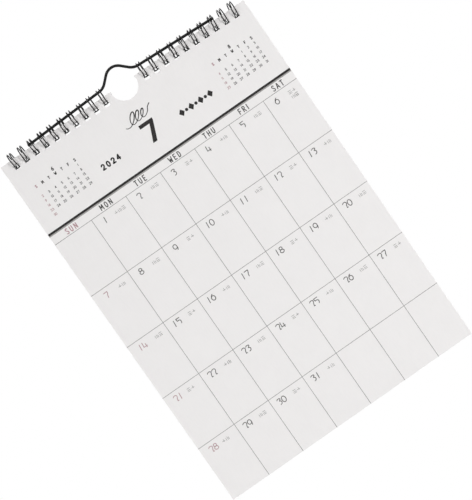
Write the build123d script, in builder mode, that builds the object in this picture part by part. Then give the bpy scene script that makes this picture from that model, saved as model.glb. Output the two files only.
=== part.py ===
"""Twin-loop wall calendar, hung by a wire hanger on a nail.

Millimetres. X runs to the right along the binding, Z points up and the shown
month faces -Y. The origin is where the nail carries the hanger: the inner side
of the arch at its highest point.
"""

from build123d import *
from math import cos, pi, radians, sin, sqrt, tan
import os

# Paper
page_width = 206.0
page_height = 285.0
sheet_thickness = 0.2
shown_sheets = 6
turned_sheets = 7
thumb_cut_radius = 10.25
thumb_cut_drop = 1.8
hole_width = 4.0
hole_height = 4.0
hole_margin = 3.5
paper_clearance = 0.2

# Twin-loop binding wire
loop_pitch = 25.4 / 3
loops_left_out = 3
least_side_margin = 7.5
loop_diameter = 12.2
loop_wire = 0.85
leg_spacing = 2.2
foot_radius = 0.9
seam_gap = 0.12
comb_droop = 1.2
loop_rise = 0.75
wire_facets = 6
loop_facets = 15
tip_facets = 4
foot_facets = 2

# Hanger wire
hanger_wire_diameter = 2.0
hanger_span = 157.5
arm_droop = 2.4
arch_rise = 9.2
arch_flank = 43.5
arch_radius = 8.7
arm_bend_radius = 9.5
hanger_clearance = 0.1

# Loop stations, counted from the gap in the middle outwards
first_loop = (loops_left_out + 1) / 2 * loop_pitch
loops_each_side = 1 + int((page_width / 2 - least_side_margin - first_loop) / loop_pitch)
loop_offsets = [step * loop_pitch for step in range(loops_each_side)]
hole_stations = [side * (first_loop + offset) for side in (-1, 1) for offset in loop_offsets]

# A faceted wire has the cross-section area of the round one
facet_angle = 2 * pi / wire_facets
wire_reach = loop_wire / 2 * sqrt(facet_angle / sin(facet_angle))
loop_radius = (loop_diameter - loop_wire) / 2
inner_reach = loop_radius * cos(pi / loop_facets) - wire_reach

# Heights, from the nail down: arch, arms at the first loop, loop centres, paper edge
arch_height = hanger_wire_diameter / 2
arm_height = arch_height - arch_rise
loop_height = arm_height + hanger_wire_diameter / 2 + hanger_clearance - inner_reach
page_top = loop_height - loop_rise
hole_height_centre = page_top - hole_margin - hole_height / 2

# Depths: both page blocks lie beside the bars at the wire's seam
block_depth = wire_reach + paper_clearance


def hanger_corners():
    """Corners of the hanger's route from tip to tip, before its bends."""
    flank = tan(radians(arch_flank))
    droop = tan(radians(arm_droop))
    apex = arch_height + arch_radius * (1 / cos(radians(arch_flank)) - 1)
    base = (apex - arm_height - first_loop * droop) / (flank - droop)
    base_height = apex - base * flank
    tip = hanger_span / 2
    tip_height = base_height - (tip - base) * droop
    return [
        (-tip, tip_height),
        (-base, base_height),
        (0, apex),
        (base, base_height),
        (tip, tip_height),
    ]


def loop_point(along, around):
    """Point of the wire in the comb's frame: along the comb, and around the loop from its foot."""
    return (along, loop_radius * sin(around), -loop_radius * cos(around))


def foot_points(leg, outward):
    """Quarter bend from the bar into a leg, the bar's end first."""
    points = []
    for step in range(foot_facets):
        turn = pi / 2 * step / foot_facets
        along = leg + outward * foot_radius * (1 - sin(turn))
        points.append(loop_point(along, foot_radius * (1 - cos(turn)) / loop_radius))
    return points


def twin_loop_points(middle):
    """One twin loop: up the back, over the top, down the front to the rounded tip and back."""
    left = middle - leg_spacing / 2
    right = middle + leg_spacing / 2
    start = foot_radius / loop_radius
    tip_radius = leg_spacing / 2
    seam = (2 * wire_reach + seam_gap) / loop_radius
    end = 2 * pi - seam - tip_radius / loop_radius
    turns = [start + (end - start) * step / loop_facets for step in range(loop_facets + 1)]
    left_leg = [loop_point(left, turn) for turn in turns]
    right_leg = [loop_point(right, turn) for turn in reversed(turns)]
    tip_turns = [pi * step / tip_facets for step in range(1, tip_facets)]
    tip = [
        loop_point(middle - tip_radius * cos(turn), end + tip_radius * sin(turn) / loop_radius)
        for turn in tip_turns
    ]
    return foot_points(left, -1) + left_leg + tip + right_leg + foot_points(right, 1)[::-1]


def comb_plane(side):
    """Frame of one comb at its innermost loop centre, X outwards and down along the comb."""
    droop = radians(comb_droop)
    return Plane(
        origin=(side * first_loop, 0, loop_height),
        x_dir=(side * cos(droop), 0, -sin(droop)),
        z_dir=(side * sin(droop), 0, cos(droop)),
    )


def comb_points(side):
    """Route of the whole comb; the loops' backs face +Y on both sides."""
    points = [point for offset in loop_offsets for point in twin_loop_points(offset)]
    return [(along, side * depth, height) for along, depth, height in points]


def page_outline():
    """Face of a sheet: page, punched holes and thumb cut, drawn in the sheet's own plane."""
    with Locations((0, page_top - page_height / 2)):
        Rectangle(page_width, page_height)
    with Locations(*[(station, hole_height_centre) for station in hole_stations]):
        Rectangle(hole_width, hole_height, mode=Mode.SUBTRACT)
    with Locations((0, page_top - thumb_cut_drop)):
        Circle(thumb_cut_radius, mode=Mode.SUBTRACT)


os.makedirs("parts", exist_ok=True)

# Hanger wire: two arms in the loops and an arch for the nail
with BuildPart() as hanger_wire:
    with BuildLine(Plane.XZ) as hanger_route:
        FilletPolyline(*hanger_corners(), radius=[arm_bend_radius, arch_radius, arm_bend_radius])
    with BuildSketch(Plane(origin=hanger_route.line @ 0, z_dir=hanger_route.line % 0)):
        Circle(hanger_wire_diameter / 2)
    sweep(path=hanger_route.line)
hanger_wire.part.label = "hanger_wire"
export_step(hanger_wire.part, "parts/hanger_wire.step")

# Binding wires: each comb is bent from one length of wire
for side, name in ((-1, "left_binding_wire"), (1, "right_binding_wire")):
    with BuildPart() as binding_wire:
        with BuildLine(comb_plane(side)) as comb_route:
            Polyline(*comb_points(side))
        with BuildSketch(Plane(origin=comb_route.line @ 0, z_dir=comb_route.line % 0)):
            RegularPolygon(wire_reach, wire_facets)
        sweep(path=comb_route.line, transition=Transition.RIGHT)
    binding_wire.part.label = name
    export_step(binding_wire.part, f"parts/{name}.step")

# Page blocks: the shown month with those to come, and the turned sheets behind the seam
for towards, sheets, name in ((1, shown_sheets, "shown_pages"), (-1, turned_sheets, "turned_pages")):
    with BuildPart() as page_block:
        with BuildSketch(Plane.XZ.offset(towards * block_depth)):
            page_outline()
        extrude(amount=towards * sheets * sheet_thickness)
    page_block.part.label = name
    export_step(page_block.part, f"parts/{name}.step")
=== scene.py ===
"""Looks of a twin-loop wall calendar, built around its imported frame.

X runs to the right along the binding, Z points up and the shown month faces -Y.
Sizes and routes are in millimetres, and make_piece turns them into metres.
Places on the month page are pairs: millimetres from the page's left side and
millimetres down from its top edge. Floor and lamps are placed in metres.
"""

from math import ceil, cos, hypot, pi, radians, sin, sqrt

import bmesh
import bpy
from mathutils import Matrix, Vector


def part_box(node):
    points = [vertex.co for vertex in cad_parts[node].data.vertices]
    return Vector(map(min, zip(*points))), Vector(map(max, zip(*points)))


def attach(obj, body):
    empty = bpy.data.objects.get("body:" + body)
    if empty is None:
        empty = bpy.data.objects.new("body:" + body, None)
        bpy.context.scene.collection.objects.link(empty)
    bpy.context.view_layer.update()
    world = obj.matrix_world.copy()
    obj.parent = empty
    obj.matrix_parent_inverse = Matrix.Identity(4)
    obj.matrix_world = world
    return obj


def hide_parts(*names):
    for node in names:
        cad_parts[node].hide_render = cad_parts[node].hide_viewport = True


MM = 0.001
tiny = 1e-6

# Frame
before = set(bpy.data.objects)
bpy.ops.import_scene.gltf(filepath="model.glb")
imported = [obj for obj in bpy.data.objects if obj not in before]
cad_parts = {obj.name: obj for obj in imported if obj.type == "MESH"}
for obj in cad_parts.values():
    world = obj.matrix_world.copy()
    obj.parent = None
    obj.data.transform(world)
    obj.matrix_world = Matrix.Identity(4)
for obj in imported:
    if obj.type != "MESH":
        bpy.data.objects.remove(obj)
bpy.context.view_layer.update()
shown_low, shown_high = (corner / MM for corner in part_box("shown_pages"))
turned_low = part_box("turned_pages")[0] / MM

# Paper
page_left = shown_low.x
page_width = shown_high.x - shown_low.x
page_top = shown_high.z
page_height = shown_high.z - shown_low.z
page_bottom = page_top - page_height
page_middle = Vector((0, shown_low.y, page_top - page_height / 2))
shown_sheets = 6
turned_sheets = 7
sheet_pitch = (shown_high.y - shown_low.y) / shown_sheets
paper_thickness = 0.14
thumb_cut_radius = 10.25
thumb_cut_drop = 1.8
thumb_cut_steps = 24
hole_width = 4.0
hole_height = 4.0
hole_margin = 3.5
sheet_trim = 0.2
sheet_bow = 0.9
bow_start = 24.0
plain_rows = 20
plain_start = thumb_cut_drop + thumb_cut_radius + 4

# Binding wire
loop_pitch = 25.4 / 3
loops_each_side = 10
first_loop = 2 * loop_pitch
loop_diameter = 12.2
loop_wire = 0.85
loop_lean = 0.18
leg_spacing = 2.2
foot_radius = 0.9
seam = 0.8
tip_drop = 0.62
tip_drop_turn = 0.75
comb_droop = radians(1.2)
comb_sags = {-1: 0.0, 1: 0.36}
loop_rise = 0.75
loop_radius = (loop_diameter - loop_wire) / 2
loop_height = page_top + loop_rise
loop_steps = 44
bend_steps = 6
wire_sides = 12
cap_rings = 3
least_ring = 0.001

# Print
ink_height = 0.02
ink_sink = 0.01
longest_run = 12.0
edge_margin = 0.05
grid_first_column = 30.9
grid_column_pitch = 29.3
grid_columns = 6
grid_first_row = 65.8
grid_row_pitch = 43.84
grid_rows = 5
grid_line = 0.34

# Camera; its sensor spans the height of the photograph, which is 472 by 500 pixels
photo_height = 500
focal_pixels = 852.36
sensor = 36.0
camera_from_page = Vector((-7.74, -599.70, 23.16))
camera_turn = (radians(87.5113), radians(34.7211), radians(-2.0811))


def new_object(name, data):
    """An object of the scene that shows a mesh, a lamp or a lens."""
    made = bpy.data.objects.new(name, data)
    bpy.context.scene.collection.objects.link(made)
    return made


def joined(parts):
    """Several (points, faces) pairs as one."""
    points, faces = [], []
    for part_points, part_faces in parts:
        first = len(points)
        points += part_points
        faces += [[first + corner for corner in face] for face in part_faces]
    return points, faces


def make_piece(name, shape, body, material):
    """A mesh piece of (points, faces) in millimetres, riding on a body of the frame."""
    points, faces = shape
    mesh = bpy.data.meshes.new(name)
    mesh.from_pydata([Vector(point) * MM for point in points], [], faces)
    shell = bmesh.new()
    shell.from_mesh(mesh)
    bmesh.ops.recalc_face_normals(shell, faces=shell.faces)
    shell.to_mesh(mesh)
    shell.free()
    mesh.shade_smooth()
    mesh.set_sharp_from_angle(angle=radians(40))
    mesh.materials.append(material)
    piece = new_object(name, mesh)
    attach(piece, body)
    return piece


def tube(route, radius, sides):
    """Round wire along a route, with rounded ends."""
    cap_turns = [pi / 2 * step / cap_rings for step in range(cap_rings)]
    stations = [(route[0], radius * sin(turn), -radius * cos(turn)) for turn in cap_turns]
    stations += [(centre, radius, 0) for centre in route]
    stations += [(route[-1], radius * sin(turn), radius * cos(turn)) for turn in reversed(cap_turns)]
    directions = [(after - before).normalized() for before, after in zip(route, route[1:])]
    tangents = [directions[0]] * (cap_rings + 1)
    tangents += [(one + two).normalized() for one, two in zip(directions, directions[1:])]
    tangents += [directions[-1]] * (cap_rings + 1)
    normal = tangents[0].orthogonal().normalized()
    points, faces = [], []
    previous = tangents[0]
    for (centre, reach, shift), tangent in zip(stations, tangents):
        normal = previous.rotation_difference(tangent) @ normal
        previous = tangent
        binormal = tangent.cross(normal)
        middle = centre + tangent * shift
        for side in range(sides):
            turn = 2 * pi * side / sides
            outward = normal * cos(turn) + binormal * sin(turn)
            points.append(middle + outward * max(reach, least_ring))
    for ring in range(len(stations) - 1):
        for side in range(sides):
            beside = (side + 1) % sides
            low, high = ring * sides, (ring + 1) * sides
            faces.append([low + side, low + beside, high + beside, high + side])
    faces.append(list(range(sides)))
    faces.append(list(range(len(points) - sides, len(points))))
    return points, faces


# Materials


def colour_socket(sockets, name):
    """The socket for colours among those of one name on a mix node."""
    return next(socket for socket in sockets if socket.name == name and socket.type == "RGBA")


class Painter:
    """Short-hand for the nodes of one material."""

    def __init__(self, name):
        self.material = bpy.data.materials.new(name)
        self.material.use_nodes = True
        self.tree = self.material.node_tree
        self.shader = self.tree.nodes["Principled BSDF"]
        self.place = self.node("ShaderNodeTexCoord").outputs["Object"]

    def node(self, kind, **settings):
        made = self.tree.nodes.new(kind)
        for key, value in settings.items():
            setattr(made, key, value)
        return made

    def feed(self, socket, value):
        """A socket set to a number or a colour, or linked to another node's output."""
        if isinstance(value, tuple):
            socket.default_value = (*value, 1)
        elif isinstance(value, (int, float)):
            socket.default_value = value
        else:
            self.tree.links.new(value, socket)

    def shade(self, name, value):
        """One of the shader's own sockets, fed with a value."""
        self.feed(self.shader.inputs[name], value)

    def noise(self, scale, detail=2.0, stretch=(1, 1, 1)):
        """Noise with features of about 1/scale metres, stretched along an axis."""
        mapping = self.node("ShaderNodeMapping")
        mapping.inputs["Scale"].default_value = stretch
        self.feed(mapping.inputs["Vector"], self.place)
        made = self.node("ShaderNodeTexNoise")
        self.feed(made.inputs["Scale"], scale)
        self.feed(made.inputs["Detail"], detail)
        self.feed(made.inputs["Vector"], mapping.outputs["Vector"])
        return made.outputs["Fac"]

    def spread(self, value, low, high, start=0.3, end=0.7):
        """A value between start and end taken to the range from low to high."""
        made = self.node("ShaderNodeMapRange")
        self.feed(made.inputs["From Min"], start)
        self.feed(made.inputs["From Max"], end)
        self.feed(made.inputs["To Min"], low)
        self.feed(made.inputs["To Max"], high)
        self.feed(made.inputs["Value"], value)
        return made.outputs["Result"]

    def blend(self, share, one, two):
        """A colour between two, by a share from 0 to 1."""
        made = self.node("ShaderNodeMix", data_type="RGBA")
        self.feed(made.inputs["Factor"], share)
        self.feed(colour_socket(made.inputs, "A"), one)
        self.feed(colour_socket(made.inputs, "B"), two)
        return colour_socket(made.outputs, "Result")

    def bump(self, height, strength):
        """Relief of a hundredth of a millimetre."""
        made = self.node("ShaderNodeBump")
        self.feed(made.inputs["Distance"], 0.00001)
        self.feed(made.inputs["Strength"], strength)
        self.feed(made.inputs["Height"], height)
        self.shade("Normal", made.outputs["Normal"])


def paper_material(name, light, dark):
    """Uncoated paper: cloudy formation, short fibres and a soft tooth."""
    speck_share = 0.4
    paint = Painter(name)
    clouds = paint.spread(paint.noise(60, detail=3), 0, 1)
    upright_fibres = paint.noise(900, detail=4, stretch=(1, 1, 0.25))
    fibres = paint.spread(upright_fibres, 0, 1, start=0.42, end=0.66)
    cloudy = paint.blend(clouds, light, dark)
    specks = paint.blend(fibres, light, dark)
    paint.shade("Base Color", paint.blend(speck_share, cloudy, specks))
    paint.shade("Roughness", paint.spread(fibres, 0.82, 0.95, start=0, end=1))
    paint.shade("Specular IOR Level", 0.25)
    paint.bump(paint.noise(2400, detail=4), strength=0.35)
    return paint.material


def wire_material(name, colour, roughness, coat, gloss):
    """Black coating on wire, a little uneven in gloss, with a faint orange peel."""
    paint = Painter(name)
    paler = tuple(channel * 1.8 + 0.001 for channel in colour)
    handled = paint.spread(paint.noise(160, detail=3), 0, 1, start=0.45, end=0.75)
    uneven = paint.spread(paint.noise(500, detail=3), roughness * 0.8, roughness * 1.3)
    paint.shade("Base Color", paint.blend(handled, colour, paler))
    paint.shade("Roughness", uneven)
    paint.shade("Specular IOR Level", gloss)
    paint.shade("Coat Weight", coat)
    paint.shade("Coat Roughness", 0.12)
    paint.bump(paint.noise(1800), strength=0.25)
    return paint.material


def ink_material(name, colour, wear):
    """Printing ink; where the paper's tooth stands up, a share of the paper shows: the wear."""
    printed_paper = (0.8, 0.79, 0.79)
    paint = Painter(name)
    worn = tuple(ink + (sheet - ink) * wear for ink, sheet in zip(colour, printed_paper))
    thin = paint.spread(paint.noise(1500, detail=3), 0, 1, start=0.4, end=0.75)
    paint.shade("Base Color", paint.blend(thin, colour, worn))
    paint.shade("Roughness", paint.spread(paint.noise(700), 0.6, 0.8))
    paint.shade("Specular IOR Level", 0.2)
    return paint.material


# Sheets


def sheet_columns():
    """Upright lines of a sheet: (x, turn along the thumb cut or None), from left to right."""
    holes = [first_loop + step * loop_pitch for step in range(loops_each_side)]
    edges = [hole + shift for hole in holes for shift in (-hole_width / 2, hole_width / 2)]
    right = [(x, None) for x in edges + [page_width / 2]]
    left = [(-x, None) for x, turn in reversed(right)]
    turns = [-pi / 2 + pi * step / thumb_cut_steps for step in range(thumb_cut_steps + 1)]
    return left + [(thumb_cut_radius * sin(turn), turn) for turn in turns] + right


def sheet_depths():
    """Level lines of a sheet, as depths under its top edge."""
    step = (page_height - plain_start) / plain_rows
    depths = [0, thumb_cut_drop / 2, thumb_cut_drop, hole_margin, hole_margin + hole_height]
    return depths + [plain_start + step * row for row in range(plain_rows + 1)]


def sheet_place(x, turn, depth):
    """Where two lines of a sheet meet, as (x, z): on the thumb cut, or spread out below it."""
    if turn is not None and depth < thumb_cut_drop:
        reach = sqrt(thumb_cut_radius**2 - (thumb_cut_drop - depth) ** 2)
        x = reach if x > 0 else -reach
    elif turn is not None and depth < plain_start:
        arc_depth = thumb_cut_drop + thumb_cut_radius * cos(turn)
        share = (depth - thumb_cut_drop) / (plain_start - thumb_cut_drop)
        depth = arc_depth + (plain_start - arc_depth) * share
    return x, page_top - depth


def sheet_faces_and_places():
    """Quads of a sheet and its places as (x, z), round the holes and the thumb cut."""
    columns, depths = sheet_columns(), sheet_depths()
    places, number = [], {}
    for column, (x, turn) in enumerate(columns):
        inside = turn is not None and abs(x) < thumb_cut_radius - tiny
        for row, depth in enumerate(depths):
            if inside and depth < thumb_cut_drop:
                continue
            number[column, row] = len(places)
            places.append(sheet_place(x, turn, depth))
    quads = []
    for left, ((x, turn), (next_x, next_turn)) in enumerate(zip(columns, columns[1:])):
        plain = turn is None and next_turn is None
        punched = plain and abs(next_x - x - hole_width) < tiny
        in_cut = turn is not None and next_turn is not None
        for top, depth in enumerate(depths[:-1]):
            if punched and depth == hole_margin:
                continue
            if in_cut and depth < thumb_cut_drop:
                continue
            right, bottom = left + 1, top + 1
            corners = ((left, top), (left, bottom), (right, bottom), (right, top))
            quads.append([number[corner] for corner in corners])
    return quads, places


def thick_sheet(quads, places, face):
    """Closed sheet of paper: front and back faces and the cut edges between them."""
    front = [(x, face(z), z) for x, z in places]
    back = [(x, y + paper_thickness, z) for x, y, z in front]
    first_back = len(front)
    faces = [list(quad) for quad in quads]
    faces += [[first_back + corner for corner in reversed(quad)] for quad in quads]
    uses = {}
    for quad in quads:
        for start, end in zip(quad, quad[1:] + quad[:1]):
            uses.setdefault(frozenset((start, end)), []).append((start, end))
    for sides in uses.values():
        if len(sides) == 1:
            start, end = sides[0]
            faces.append([end, start, first_back + start, first_back + end])
    return front + back, faces


def bow(z):
    """Share of a sheet's bow at a height: nothing at the binding, all of it at the foot."""
    start = page_top - bow_start
    return max(0.0, (start - z) / (page_height - bow_start)) ** 2


def sheet_face(body, sheet):
    """Y of a sheet's front face as a function of height; the blocks fan outwards at the foot."""
    if body == "shown":
        first, outward = shown_low.y, -1
        depth_in_block = sheet / shown_sheets
    else:
        first, outward = turned_low.y + sheet_pitch - paper_thickness, 1
        depth_in_block = (turned_sheets - 1 - sheet) / turned_sheets
    fan = outward * sheet_bow * (1 - depth_in_block) ** 1.5

    def face(z):
        return first + sheet * sheet_pitch + fan * bow(z)

    return face


def build_sheets(paper):
    """Loose sheets: the shown block in front of the seam, the turned block behind it.

    All but the shown month are trimmed a little, and lie slightly askew in a fixed pattern.
    """
    sway_turn, lift_turn = 2.4, 1.7
    quads, places = sheet_faces_and_places()
    for body, count in (("shown", shown_sheets), ("turned", turned_sheets)):
        for sheet in range(count):
            trim = 0 if (body, sheet) == ("shown", 0) else sheet_trim
            sway = trim * sin(sway_turn * sheet + count)
            lift = 0.5 * trim * (1 + cos(lift_turn * sheet + count))
            left, right = page_left + trim + sway, page_left + page_width - trim + sway
            points, faces = thick_sheet(quads, places, sheet_face(body, sheet))
            points = [(min(max(x, left), right), y, max(z, page_bottom + lift)) for x, y, z in points]
            piece = make_piece(f"{body}_sheet_{sheet + 1}", (points, faces), body, paper)
            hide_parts(f"{body}_pages")


# Binding wires


def comb_sag(side, along):
    """How far a comb sags at a length along it, most just short of its middle."""
    skew, span = 0.8, 0.96
    comb_length = (loops_each_side - 1) * loop_pitch
    share = max(0.0, along) / comb_length
    return comb_sags[side] * max(0.0, sin(pi * share**skew * span))


def on_loop(side, along, around):
    """Point of a comb's wire: along the comb, and around the loop from its foot, up the back."""
    near_tip = max(0.0, 1 - (2 * pi - around) / tip_drop_turn)
    radius = loop_radius + tip_drop * near_tip**1.5
    height = -radius * cos(around)
    return Vector((
        side * (first_loop + along * cos(comb_droop) + height * sin(comb_droop)),
        radius * sin(around),
        loop_height - comb_sag(side, along) - along * sin(comb_droop) + height * cos(comb_droop),
    ))


def foot(leg, outward):
    """Quarter bend from the bar into a leg, as (along, around) pairs."""
    turns = [pi / 2 * step / bend_steps for step in range(bend_steps)]
    return [
        (leg + outward * foot_radius * (1 - sin(turn)), foot_radius * (1 - cos(turn)) / loop_radius)
        for turn in turns
    ]


def twin_loop(middle):
    """One twin loop as (along, around) pairs: up the back, down the front, round the tip and back."""
    left, right = middle - leg_spacing / 2, middle + leg_spacing / 2
    tip_radius = leg_spacing / 2
    start = foot_radius / loop_radius
    end = 2 * pi - (seam + tip_radius) / loop_radius
    turns = [start + (end - start) * step / loop_steps for step in range(loop_steps + 1)]
    tip_turns = [pi * step / (2 * bend_steps) for step in range(1, 2 * bend_steps)]
    tip = [
        (middle - tip_radius * cos(turn), end + tip_radius * sin(turn) / loop_radius)
        for turn in tip_turns
    ]
    left_leg = [(left, turn) for turn in turns]
    right_leg = [(right, turn) for turn in reversed(turns)]
    return foot(left, -1) + left_leg + tip + right_leg + foot(right, 1)[::-1]


def lean(around):
    """Share of a loop's lean along the comb: 0 at its foot, -1 at its top and 1 at the front tip."""
    if around < pi:
        return -(1 - cos(around)) / 2
    return -cos(around - pi)


def build_combs(wire):
    """Both combs, each of one wire; its loops lean a little, in a fixed pattern."""
    lean_turn = 3.1
    for side, name in ((-1, "left"), (1, "right")):
        route = []
        for loop in range(loops_each_side):
            slant = loop_lean * sin(lean_turn * loop + side)
            for along, around in twin_loop(loop * loop_pitch):
                route.append(on_loop(side, along + side * slant * lean(around), around))
        shape = tube(route, loop_wire / 2, wire_sides)
        piece = make_piece(f"{name}_comb", shape, "binding", wire)
        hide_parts(f"{name}_binding_wire")


# Print


def ink_points(place):
    """The two points of a film of ink, over and under the face of a flat page, at a place on it."""
    x, z = page_left + place[0], page_top - place[1]
    return [(x, -ink_height, z), (x, ink_sink, z)]


def raised(outline_rows):
    """Closed, barely raised strip of ink from rows of (left place, right place)."""
    points = []
    for row in outline_rows:
        for place in row:
            points += ink_points(place)
    faces = [[0, 2, 3, 1]]
    last = 4 * (len(outline_rows) - 1)
    for this in range(0, last, 4):
        after = this + 4
        faces += [[this, after, after + 2, this + 2], [this + 1, this + 3, after + 3, after + 1]]
        faces += [[this, this + 1, after + 1, after], [this + 2, after + 2, after + 3, this + 3]]
    faces.append([last, last + 1, last + 3, last + 2])
    return points, faces


def filled(outline):
    """Closed, barely raised patch of ink inside an outline of places."""
    points = []
    for place in outline:
        points += ink_points(place)
    count = len(outline)
    faces = [[2 * corner for corner in range(count)], [2 * corner + 1 for corner in reversed(range(count))]]
    for corner in range(count):
        after = (corner + 1) % count
        faces.append([2 * corner, 2 * corner + 1, 2 * after + 1, 2 * after])
    return points, faces


def band(left, top, right, bottom):
    """Ruled line or bar, divided along its length so that it follows the sheet's bow."""
    wide = right - left >= bottom - top
    runs = max(1, ceil(max(right - left, bottom - top) / longest_run))
    rows = []
    for step in range(runs + 1):
        share = step / runs
        if wide:
            x = left + (right - left) * share
            rows.append(((x, bottom), (x, top)))
        else:
            depth = top + (bottom - top) * share
            rows.append(((left, depth), (right, depth)))
    return raised(rows)


def eased(before, start, end, after, share):
    """Catmull-Rom value between start and end, with the values before and after them."""
    square = 2 * before - 5 * start + 4 * end - after
    cube = 3 * start - before - 3 * end + after
    return 0.5 * (2 * start + (end - before) * share + square * share**2 + cube * share**3)


def curved(points, steps=5):
    """Smooth line through points, with a number of steps between each two."""
    padded = [points[0]] + list(points) + [points[-1]]
    line = []
    for four in zip(padded, padded[1:], padded[2:], padded[3:]):
        for step in range(steps):
            line.append(tuple(eased(*values, step / steps) for values in zip(*four)))
    return line + [tuple(points[-1])]


def pen_row(place, across, share=1):
    """The two sides of a pen stroke at a place, with a share of its width."""
    (x, depth), (across_x, across_depth) = place, across
    return (
        (x + across_x * share, depth + across_depth * share),
        (x - across_x * share, depth - across_depth * share),
    )


def stroke(line, width, swell=None):
    """Pen stroke along places, with narrowed ends; swell(share) changes its width on the way.

    Where it bends, its rows are widened, up to twice, so that its two legs keep their width.
    """
    end_reach, end_share, least_corner = width * 0.35, 0.55, 0.5
    directions = []
    for (x, depth), (next_x, next_depth) in zip(line, line[1:]):
        length = hypot(next_x - x, next_depth - depth) or tiny
        directions.append(((next_x - x) / length, (next_depth - depth) / length))
    rows = []
    last = len(line) - 1
    for at, (x, depth) in enumerate(line):
        before, after = directions[max(at - 1, 0)], directions[min(at, last - 1)]
        across_x, across_depth = -(before[1] + after[1]), before[0] + after[0]
        size = hypot(across_x, across_depth) or 1.0
        corner = max(least_corner, size / 2)
        half = width / 2 * (swell(at / last) if swell else 1) / corner
        across = (across_x / size * half, across_depth / size * half)
        if at == 0:
            start = (x - after[0] * end_reach, depth - after[1] * end_reach)
            rows.append(pen_row(start, across, end_share))
        rows.append(pen_row((x, depth), across))
        if at == last:
            end = (x + before[0] * end_reach, depth + before[1] * end_reach)
            rows.append(pen_row(end, across, end_share))
    return raised(rows)


def oval(x, y, half_width, half_height, steps=14):
    """Points of an oval, back to its start."""
    turns = [2 * pi * step / steps for step in range(steps + 1)]
    return [(x + half_width * sin(turn), y + half_height * cos(turn)) for turn in turns]


# Widths and pen strokes of plain figures and capitals in a box one high, x to the right and y up
plain_figures = {
    "0": (0.6, [oval(0.3, 0.5, 0.27, 0.5)]),
    "1": (0.24, [[(0.08, 1.0), (0.13, 0.0)]]),
    "2": (0.62, [
        curved([
            (0.03, 0.78), (0.14, 0.95), (0.35, 1.0), (0.54, 0.86), (0.53, 0.62), (0.3, 0.3),
            (0.03, 0.0),
        ]),
        [(0.03, 0.0), (0.6, 0.0)],
    ]),
    "3": (0.62, [
        curved([(0.05, 0.86), (0.25, 1.0), (0.5, 0.9), (0.5, 0.66), (0.24, 0.54)]),
        curved([(0.24, 0.54), (0.52, 0.46), (0.58, 0.2), (0.34, 0.0), (0.03, 0.12)]),
    ]),
    "4": (0.66, [
        [(0.64, 0.28), (0.02, 0.28)],
        [(0.02, 0.28), (0.46, 1.0)],
        [(0.46, 1.0), (0.46, 0.0)],
    ]),
    "5": (0.6, [
        [(0.54, 1.0), (0.12, 1.0), (0.08, 0.55)],
        curved([(0.08, 0.55), (0.3, 0.63), (0.54, 0.5), (0.56, 0.2), (0.32, 0.0), (0.03, 0.1)]),
    ]),
    "6": (0.6, [
        curved([
            (0.5, 0.98), (0.24, 0.82), (0.06, 0.45), (0.08, 0.14), (0.3, 0.0), (0.52, 0.14),
            (0.52, 0.4), (0.3, 0.54), (0.08, 0.36),
        ]),
    ]),
    "7": (0.6, [[(0.02, 1.0), (0.58, 1.0)], [(0.58, 1.0), (0.24, 0.0)]]),
    "8": (0.6, [
        curved([
            (0.3, 0.54), (0.1, 0.76), (0.3, 1.0), (0.5, 0.78), (0.3, 0.54), (0.05, 0.25),
            (0.3, 0.0), (0.55, 0.25), (0.3, 0.54),
        ]),
    ]),
    "9": (0.6, [
        curved([
            (0.08, 0.02), (0.34, 0.18), (0.53, 0.55), (0.52, 0.86), (0.3, 1.0), (0.08, 0.86),
            (0.08, 0.6), (0.3, 0.46), (0.52, 0.64),
        ]),
    ]),
    "A": (0.5, [
        [(0.0, 0.0), (0.22, 1.0)],
        [(0.22, 1.0), (0.44, 0.0)],
        [(0.08, 0.34), (0.36, 0.34)],
    ]),
    "D": (0.5, [
        [(0.04, 0.0), (0.04, 1.0)],
        curved([(0.04, 1.0), (0.3, 0.92), (0.4, 0.5), (0.3, 0.08), (0.04, 0.0)]),
    ]),
    "E": (0.46, [
        [(0.38, 1.0), (0.04, 1.0), (0.04, 0.0), (0.38, 0.0)],
        [(0.04, 0.52), (0.32, 0.52)],
    ]),
    "F": (0.44, [[(0.38, 1.0), (0.04, 1.0), (0.04, 0.0)], [(0.04, 0.52), (0.32, 0.52)]]),
    "H": (0.5, [
        [(0.04, 0.0), (0.04, 1.0)],
        [(0.4, 0.0), (0.4, 1.0)],
        [(0.04, 0.5), (0.4, 0.5)],
    ]),
    "I": (0.16, [[(0.06, 0.0), (0.06, 1.0)]]),
    "M": (0.6, [
        [(0.04, 0.0), (0.07, 1.0)],
        [(0.07, 1.0), (0.28, 0.35)],
        [(0.28, 0.35), (0.49, 1.0)],
        [(0.49, 1.0), (0.52, 0.0)],
    ]),
    "N": (0.5, [
        [(0.04, 0.0), (0.04, 1.0)],
        [(0.04, 1.0), (0.42, 0.0)],
        [(0.42, 0.0), (0.42, 1.0)],
    ]),
    "O": (0.5, [oval(0.22, 0.5, 0.2, 0.5)]),
    "R": (0.5, [
        [(0.04, 0.0), (0.04, 1.0)],
        curved([(0.04, 1.0), (0.34, 0.94), (0.34, 0.6), (0.04, 0.52)]),
        [(0.16, 0.52), (0.42, 0.0)],
    ]),
    "S": (0.48, [
        curved([
            (0.4, 0.86), (0.22, 1.0), (0.04, 0.8), (0.2, 0.54), (0.38, 0.36), (0.38, 0.12),
            (0.2, 0.0), (0.02, 0.12),
        ]),
    ]),
    "T": (0.48, [[(0.0, 1.0), (0.44, 1.0)], [(0.22, 1.0), (0.22, 0.0)]]),
    "U": (0.5, [curved([(0.04, 1.0), (0.05, 0.25), (0.22, 0.0), (0.39, 0.25), (0.4, 1.0)])]),
    "W": (0.6, [
        [(0.0, 1.0), (0.14, 0.0)],
        [(0.14, 0.0), (0.28, 0.7)],
        [(0.28, 0.7), (0.42, 0.0)],
        [(0.42, 0.0), (0.56, 1.0)],
    ]),
}

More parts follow.
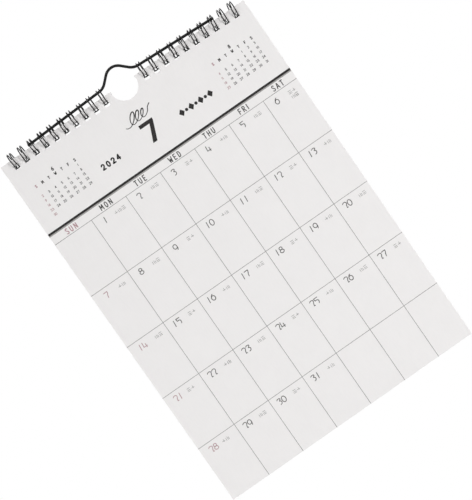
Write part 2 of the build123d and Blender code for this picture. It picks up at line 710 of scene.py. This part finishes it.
# Wider, rounder figures of the days, all of one width, with short strokes and open ends
day_figure_width = 0.72
day_strokes = {
    "0": [oval(0.36, 0.5, 0.34, 0.5)],
    "1": [[(0.4, 1.0), (0.32, 0.0)]],
    "2": [
        curved([
            (0.02, 0.84), (0.18, 0.97), (0.45, 1.0), (0.65, 0.86), (0.64, 0.64), (0.5, 0.38),
            (0.42, 0.03),
        ]),
        [(0.42, 0.02), (0.62, 0.02)],
    ],
    "3": [
        curved([(0.04, 0.88), (0.24, 1.0), (0.54, 0.98), (0.62, 0.84), (0.36, 0.6)]),
        curved([(0.36, 0.6), (0.6, 0.48), (0.63, 0.26), (0.5, 0.06), (0.28, 0.0)]),
    ],
    "4": [[(0.12, 1.0), (0.05, 0.22), (0.68, 0.22)], [(0.53, 0.66), (0.54, 0.0)]],
    "5": [
        [(0.68, 1.0), (0.06, 0.98), (0.12, 0.58)],
        curved([(0.12, 0.58), (0.38, 0.62), (0.62, 0.52), (0.66, 0.26), (0.54, 0.0)]),
    ],
    "6": [oval(0.36, 0.38, 0.33, 0.38), curved([(0.48, 1.0), (0.24, 0.84), (0.06, 0.52)])],
    "7": [
        [(0.03, 0.96), (0.68, 1.0)],
        curved([(0.68, 1.0), (0.62, 0.7), (0.47, 0.38), (0.4, 0.0)]),
    ],
    "8": [oval(0.36, 0.77, 0.26, 0.23), oval(0.36, 0.27, 0.34, 0.27)],
    "9": [oval(0.36, 0.62, 0.33, 0.38), curved([(0.68, 0.56), (0.66, 0.28), (0.55, 0.0)])],
}
day_figures = {figure: (day_figure_width, strokes) for figure, strokes in day_strokes.items()}


def lettering(text, middle, height, weight, space=0.1, stretch=1.0, figures=plain_figures):
    """Plain figures or capitals centred on a place; space is a share of their height."""
    widths = [figures[letter][0] * stretch for letter in text]
    whole = sum(widths) + space * (len(text) - 1)
    left = middle[0] - whole * height / 2
    parts = []
    for letter, width in zip(text, widths):
        for line in figures[letter][1]:
            places = [(left + x * stretch * height, middle[1] + (0.5 - y) * height) for x, y in line]
            parts.append(stroke(places, weight))
        left += (width + space) * height
    return parts


def month_cell(day, first_column):
    """Column and row of a day in a month that starts in a column from 0, Sunday, to 6."""
    row, column = divmod(day - 1 + first_column, 7)
    return column, row


def column_ink(column):
    """Sundays are red."""
    return "grey" if column else "red"


class Page:
    """A printed month: its figures, and the ink that it gathers by colour."""

    def __init__(self, body, number, days, first_column, neighbours):
        self.body = body
        self.number = number
        self.days = days
        self.first_column = first_column
        self.neighbours = neighbours
        self.films = {}

    def add(self, ink, parts):
        self.films.setdefault(ink, []).extend(parts)

    def corner(self, day):
        """Upper left corner of a day's box; a sixth week shares the boxes of the fifth."""
        column, row = month_cell(day, self.first_column)
        shared = row == grid_rows
        return (
            grid_first_column + grid_column_pitch * (column - 1),
            grid_first_row + grid_row_pitch * (row - 0.5 * shared),
        )

    def make(self, face, inks):
        """One piece for each colour, lowered from the flat page onto the sheet's own face."""
        for ink, parts in self.films.items():
            points, faces = joined(parts)
            points = [(x, y + face(z), z) for x, y, z in points]
            make_piece(f"{self.body}_print_{ink}", (points, faces), self.body, inks[ink])


def print_grid(page):
    """Ruled boxes for the days."""
    half_line = grid_line / 2
    for row in range(grid_rows):
        depth = grid_first_row + grid_row_pitch * row
        line = band(edge_margin, depth - half_line, page_width - edge_margin, depth + half_line)
        page.add("line", [line])
    for column in range(grid_columns):
        x = grid_first_column + grid_column_pitch * column
        line = band(x - half_line, grid_first_row, x + half_line, page_height - edge_margin)
        page.add("line", [line])


def print_rule(page):
    """Heavy rule under the heading, with its softer lower edge."""
    rule_top, rule_bottom, soft_bottom = 56.96, 58.6, 59.5
    left, right = edge_margin, page_width - edge_margin
    page.add("black", [band(left, rule_top, right, rule_bottom)])
    page.add("shade", [band(left, rule_bottom, right, soft_bottom)])


def print_month_figure(page):
    """The month's large figure; a 7 is a bar and a slanted, cut-off stem."""
    left, right, top, bottom = 95.2, 106.5, 30.7, 46.3
    bar = 2.75
    if page.number == 7:
        side_height, stem_top, stem_left, stem_right = 1.7, 3.6, 9.15, 5.65
        outline = [
            (left, top),
            (right, top),
            (right, top + side_height),
            (right - stem_right, bottom),
            (right - stem_left, bottom),
            (right - stem_top, top + bar),
            (left, top + bar),
        ]
        page.add("black", [filled(outline)])
        return
    middle = ((left + right) / 2, (top + bottom) / 2)
    page.add("black", lettering(str(page.number), middle, bottom - top - bar, bar, stretch=1.1))


def print_flourish(page):
    """Pen flourish over the month's figure: a slanted coil that grows smaller, with a tail at each end."""
    middle, length, half_width, half_height = (99.4, 24.0), 13.5, 2.9, 4.4
    slant, coils, shrink, fall, steps = 0.62, 3.25, 0.42, 0.9, 90
    weight, thinnest, swelling = 0.7, 0.75, 0.5
    first_tail, last_tail = [(-12.0, -3.4), (-11.0, -4.15)], [(1.3, 2.1), (3.6, 3.6)]
    line = list(first_tail)
    for step in range(steps + 1):
        share = step / steps
        turn = -0.5 * pi - 2 * pi * coils * share
        size = 1 - shrink * share
        y = half_height * size * sin(turn) - fall * share
        x = length * (share - 0.5) - half_width * size * cos(turn) + slant * y
        line.append((x, y))
    end_x, end_y = line[-1]
    line += [(end_x + x, end_y + y) for x, y in last_tail]
    places = [(middle[0] + x, middle[1] - y) for x, y in line]

    def swell(share):
        return thinnest + swelling * sin(pi * coils * share) ** 2

    page.add("black", [stroke(curved(places, steps=2), weight, swell)])


def print_heading(page):
    """Year to the left of the month's figure, a row of lozenges and dots of like weight to its right."""
    year_middle, year_height, year_weight = (65.4, 40.3), 3.65, 1.05
    page.add("black", lettering("2024", year_middle, year_height, year_weight, space=0.52, stretch=1.02))
    first, pitch, middle, ornaments = 125.9, 3.98, 40.15, 7
    lozenge, dot = (2.25, 2.7, 4), (1.2, 1.2, 12)
    for step in range(ornaments):
        x = first + pitch * step
        half_width, half_height, corners = dot if step % 2 else lozenge
        turns = [2 * pi * corner / corners for corner in range(corners)]
        outline = [(x + half_width * sin(turn), middle + half_height * cos(turn)) for turn in turns]
        page.add("black", [filled(outline)])


def print_weekdays(page):
    """Short names of the days over their columns."""
    depth, height, weight = 62.6, 3.9, 0.68
    for column, name in enumerate(("SUN", "MON", "TUE", "WED", "THU", "FRI", "SAT")):
        x = grid_first_column + grid_column_pitch * (column - 0.5)
        parts = lettering(name, (x, depth), height, weight, space=0.36, stretch=1.12)
        page.add(column_ink(column), parts)


def small_mark(left, top, kind):
    """Small square mark of short bars, in one of three kinds."""
    width, height, bar = 2.4, 2.5, 0.33
    left_shorter, right_shorter, middle_shorter = 0.3, 0.5, 0.4
    right, bottom = left + width, top + height
    middle, centre = top + height / 2, left + width / 2
    if kind == 0:
        return [
            band(left, top, right, top + bar),
            band(left, middle, right, middle + bar),
            band(left, bottom - bar, right, bottom),
        ]
    if kind == 1:
        return [
            band(left, top + left_shorter, left + bar, bottom),
            band(centre, top, centre + bar, bottom),
            band(right - bar, top + right_shorter, right, bottom),
        ]
    return [
        band(left, middle, right, middle + bar),
        band(centre, top, centre + bar, bottom - middle_shorter),
    ]


def print_dates(page):
    """Figures of the days, and two or more small marks beside each, nearly all of them pale."""
    figure_right, figure_down, height, weight = 8.05, 5.45, 4.4, 0.56
    mark_right, mark_pitch, mark_down = 18.0, 3.2, 4.2
    other_marks_right = {1: 16.1, 14: 19.0, 21: 16.0, 28: 15.4}
    second_row_day, second_row_down = 6, 7.9
    second_row = (("faint", 18.4, 1), ("grey", 21.2, 0))
    for day in range(1, page.days + 1):
        column, _ = month_cell(day, page.first_column)
        left, top = page.corner(day)
        middle = (left + figure_right, top + figure_down)
        figure = lettering(str(day), middle, height, weight, space=0.09, figures=day_figures)
        page.add(column_ink(column), figure)
        first_mark = left + other_marks_right.get(day, mark_right)
        for mark in range(3 if day == 1 else 2):
            ink = "grey" if (day, mark) == (22, 1) else "faint"
            kind = (day * 5 + mark * 2) % 3
            page.add(ink, small_mark(first_mark + mark_pitch * mark, top + mark_down, kind))
        if day == second_row_day:
            for ink, right, kind in second_row:
                page.add(ink, small_mark(left + right, top + second_row_down, kind))


def print_small_month(page, left, number, first_column, days):
    """Small calendar of a month beside the heading."""
    column_pitch, row_pitch = 5.42, 3.88
    number_depth, letter_depth, first_row_depth = 20.9, 24.7, 28.8
    number_height, letter_height, day_height = 2.3, 1.9, 1.6
    number_weight, letter_weight, day_weight = 0.62, 0.56, 0.33
    middle = (left + 3 * column_pitch, number_depth)
    page.add("grey", lettering(str(number), middle, number_height, number_weight))
    for column, letter in enumerate("SMTWTFS"):
        middle = (left + column_pitch * column, letter_depth)
        page.add(column_ink(column), lettering(letter, middle, letter_height, letter_weight, stretch=1.3))
    for day in range(1, days + 1):
        column, row = month_cell(day, first_column)
        middle = (left + column_pitch * column, first_row_depth + row_pitch * row)
        page.add(column_ink(column), lettering(str(day), middle, day_height, day_weight, space=0.2))


def build_print():
    """The shown month, and the last month turned over, which the shown pages hide.

    Neighbours are the months before and after, each with its first column and its days.
    """
    inks = {
        "black": ink_material("ink_black", (0.014, 0.012, 0.012), wear=0.035),
        "grey": ink_material("ink_grey", (0.045, 0.042, 0.041), wear=0.12),
        "line": ink_material("ink_line", (0.17, 0.168, 0.165), wear=0.15),
        "shade": ink_material("ink_shade", (0.3, 0.29, 0.28), wear=0.3),
        "red": ink_material("ink_red", (0.41, 0.24, 0.26), wear=0.2),
        "faint": ink_material("ink_faint", (0.24, 0.235, 0.23), wear=0.25),
    }
    pages = (
        Page("shown", number=7, days=31, first_column=1, neighbours=((6, 6, 30), (8, 4, 31))),
        Page("turned", number=6, days=30, first_column=6, neighbours=((5, 3, 31), (7, 1, 31))),
    )
    small_month_lefts = (12.9, 163.1)
    for page in pages:
        print_grid(page)
        print_rule(page)
        print_month_figure(page)
        print_flourish(page)
        print_heading(page)
        print_weekdays(page)
        print_dates(page)
        for left, (number, first_column, days) in zip(small_month_lefts, page.neighbours):
            print_small_month(page, left, number, first_column, days)
        page.make(sheet_face(page.body, 0), inks)


# Stage, light and camera


def seen_directly(tree):
    """1 for rays from the camera and for what gloss and glass show, otherwise 0."""
    path = tree.nodes.new("ShaderNodeLightPath")
    either = path.outputs["Is Camera Ray"]
    for ray in ("Is Glossy Ray", "Is Transmission Ray"):
        most = tree.nodes.new("ShaderNodeMath")
        most.operation = "MAXIMUM"
        tree.links.new(either, most.inputs[0])
        tree.links.new(path.outputs[ray], most.inputs[1])
        either = most.outputs[0]
    return either


def mixed_shader(tree, share, one, two):
    """Output of a mix of two shaders' outputs."""
    mix = tree.nodes.new("ShaderNodeMixShader")
    for socket, source in zip(mix.inputs, (share, one, two)):
        tree.links.new(source, socket)
    return mix.outputs[0]


def build_floor():
    """Plain white floor, well below the hanging calendar, which keeps a faint shadow."""
    reach, height, whiteness, glow, glow_share = 1.1, -1.2, 0.86, 1.1, 0.85
    corners = [(x * reach, y * reach, height) for x, y in ((-1, -1), (1, -1), (1, 1), (-1, 1))]
    mesh = bpy.data.meshes.new("floor")
    mesh.from_pydata(corners, [], [(0, 1, 2, 3)])
    floor = new_object("floor", mesh)
    paint = Painter("floor_paint")
    paint.shade("Base Color", (whiteness, whiteness, whiteness))
    paint.shade("Roughness", 0.9)
    white = paint.node("ShaderNodeEmission")
    paint.feed(white.inputs["Strength"], glow)
    share = paint.node("ShaderNodeMath", operation="MULTIPLY")
    paint.feed(share.inputs[0], seen_directly(paint.tree))
    paint.feed(share.inputs[1], glow_share)
    mix = mixed_shader(paint.tree, share.outputs[0], paint.shader.outputs[0], white.outputs[0])
    paint.feed(paint.tree.nodes["Material Output"].inputs["Surface"], mix)
    mesh.materials.append(paint.material)


def build_world(ambient):
    """White background for the camera, gloss and glass, and a softer light on the object."""
    world = bpy.data.worlds.new("studio")
    world.use_nodes = True
    bpy.context.scene.world = world
    tree = world.node_tree
    light = tree.nodes["Background"]
    seen = tree.nodes.new("ShaderNodeBackground")
    for background, strength in ((light, ambient), (seen, 1.0)):
        background.inputs["Color"].default_value = (1, 1, 1, 1)
        background.inputs["Strength"].default_value = strength
    mix = mixed_shader(tree, seen_directly(tree), light.outputs[0], seen.outputs[0])
    tree.links.new(mix, tree.nodes["World Output"].inputs[0])


def soft_light(name, place, target, size, watts):
    """Square lamp turned to a target."""
    lamp = bpy.data.lights.new(name, "AREA")
    lamp.shape = "SQUARE"
    lamp.size = size
    lamp.energy = watts
    stand = new_object(name, lamp)
    stand.location = place
    stand.rotation_mode = "QUATERNION"
    stand.rotation_quaternion = (target - place).to_track_quat("-Z", "Y")


def build_lights():
    """Ambient light and five lamps, each by its place from the page's middle, its size and its watts."""
    build_world(0.3)
    centre = Vector((0, 0, page_middle.z)) * MM
    lamps = (
        ("key", (0.9, -1.35, 0.0), 0.35, 10.7),
        ("front", (0.0, -1.9, 0.2), 1.5, 5.2),
        ("left", (-0.9, -1.3, 0.3), 1.0, 4.1),
        ("low", (-0.5, -1.0, -1.0), 0.8, 4.8),
        ("rear", (-0.4, 1.5, 0.6), 1.0, 19),
    )
    for name, offset, size, watts in lamps:
        soft_light(name, centre + Vector(offset), centre, size, watts)


def build_camera():
    """The photograph's own view, from a place measured from the page's middle."""
    lens = bpy.data.cameras.new("camera")
    lens.sensor_width = sensor
    lens.lens = sensor * focal_pixels / photo_height
    camera = new_object("camera", lens)
    camera.location = (page_middle + camera_from_page) * MM
    camera.rotation_euler = camera_turn
    bpy.context.scene.camera = camera


bpy.context.scene.view_settings.view_transform = "Standard"
build_camera()
build_lights()
build_floor()
build_sheets(paper_material("sheet_paper", (0.835, 0.819, 0.815), (0.814, 0.798, 0.794)))
build_combs(wire_material("comb_coating", (0.006, 0.0057, 0.006), roughness=0.4, coat=0.0, gloss=0.22))
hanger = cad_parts["hanger_wire"]
hanger.data.materials[0] = wire_material(
    "hanger_coating", (0.003, 0.003, 0.003), roughness=0.3, coat=0.08, gloss=0.12
)
build_print()
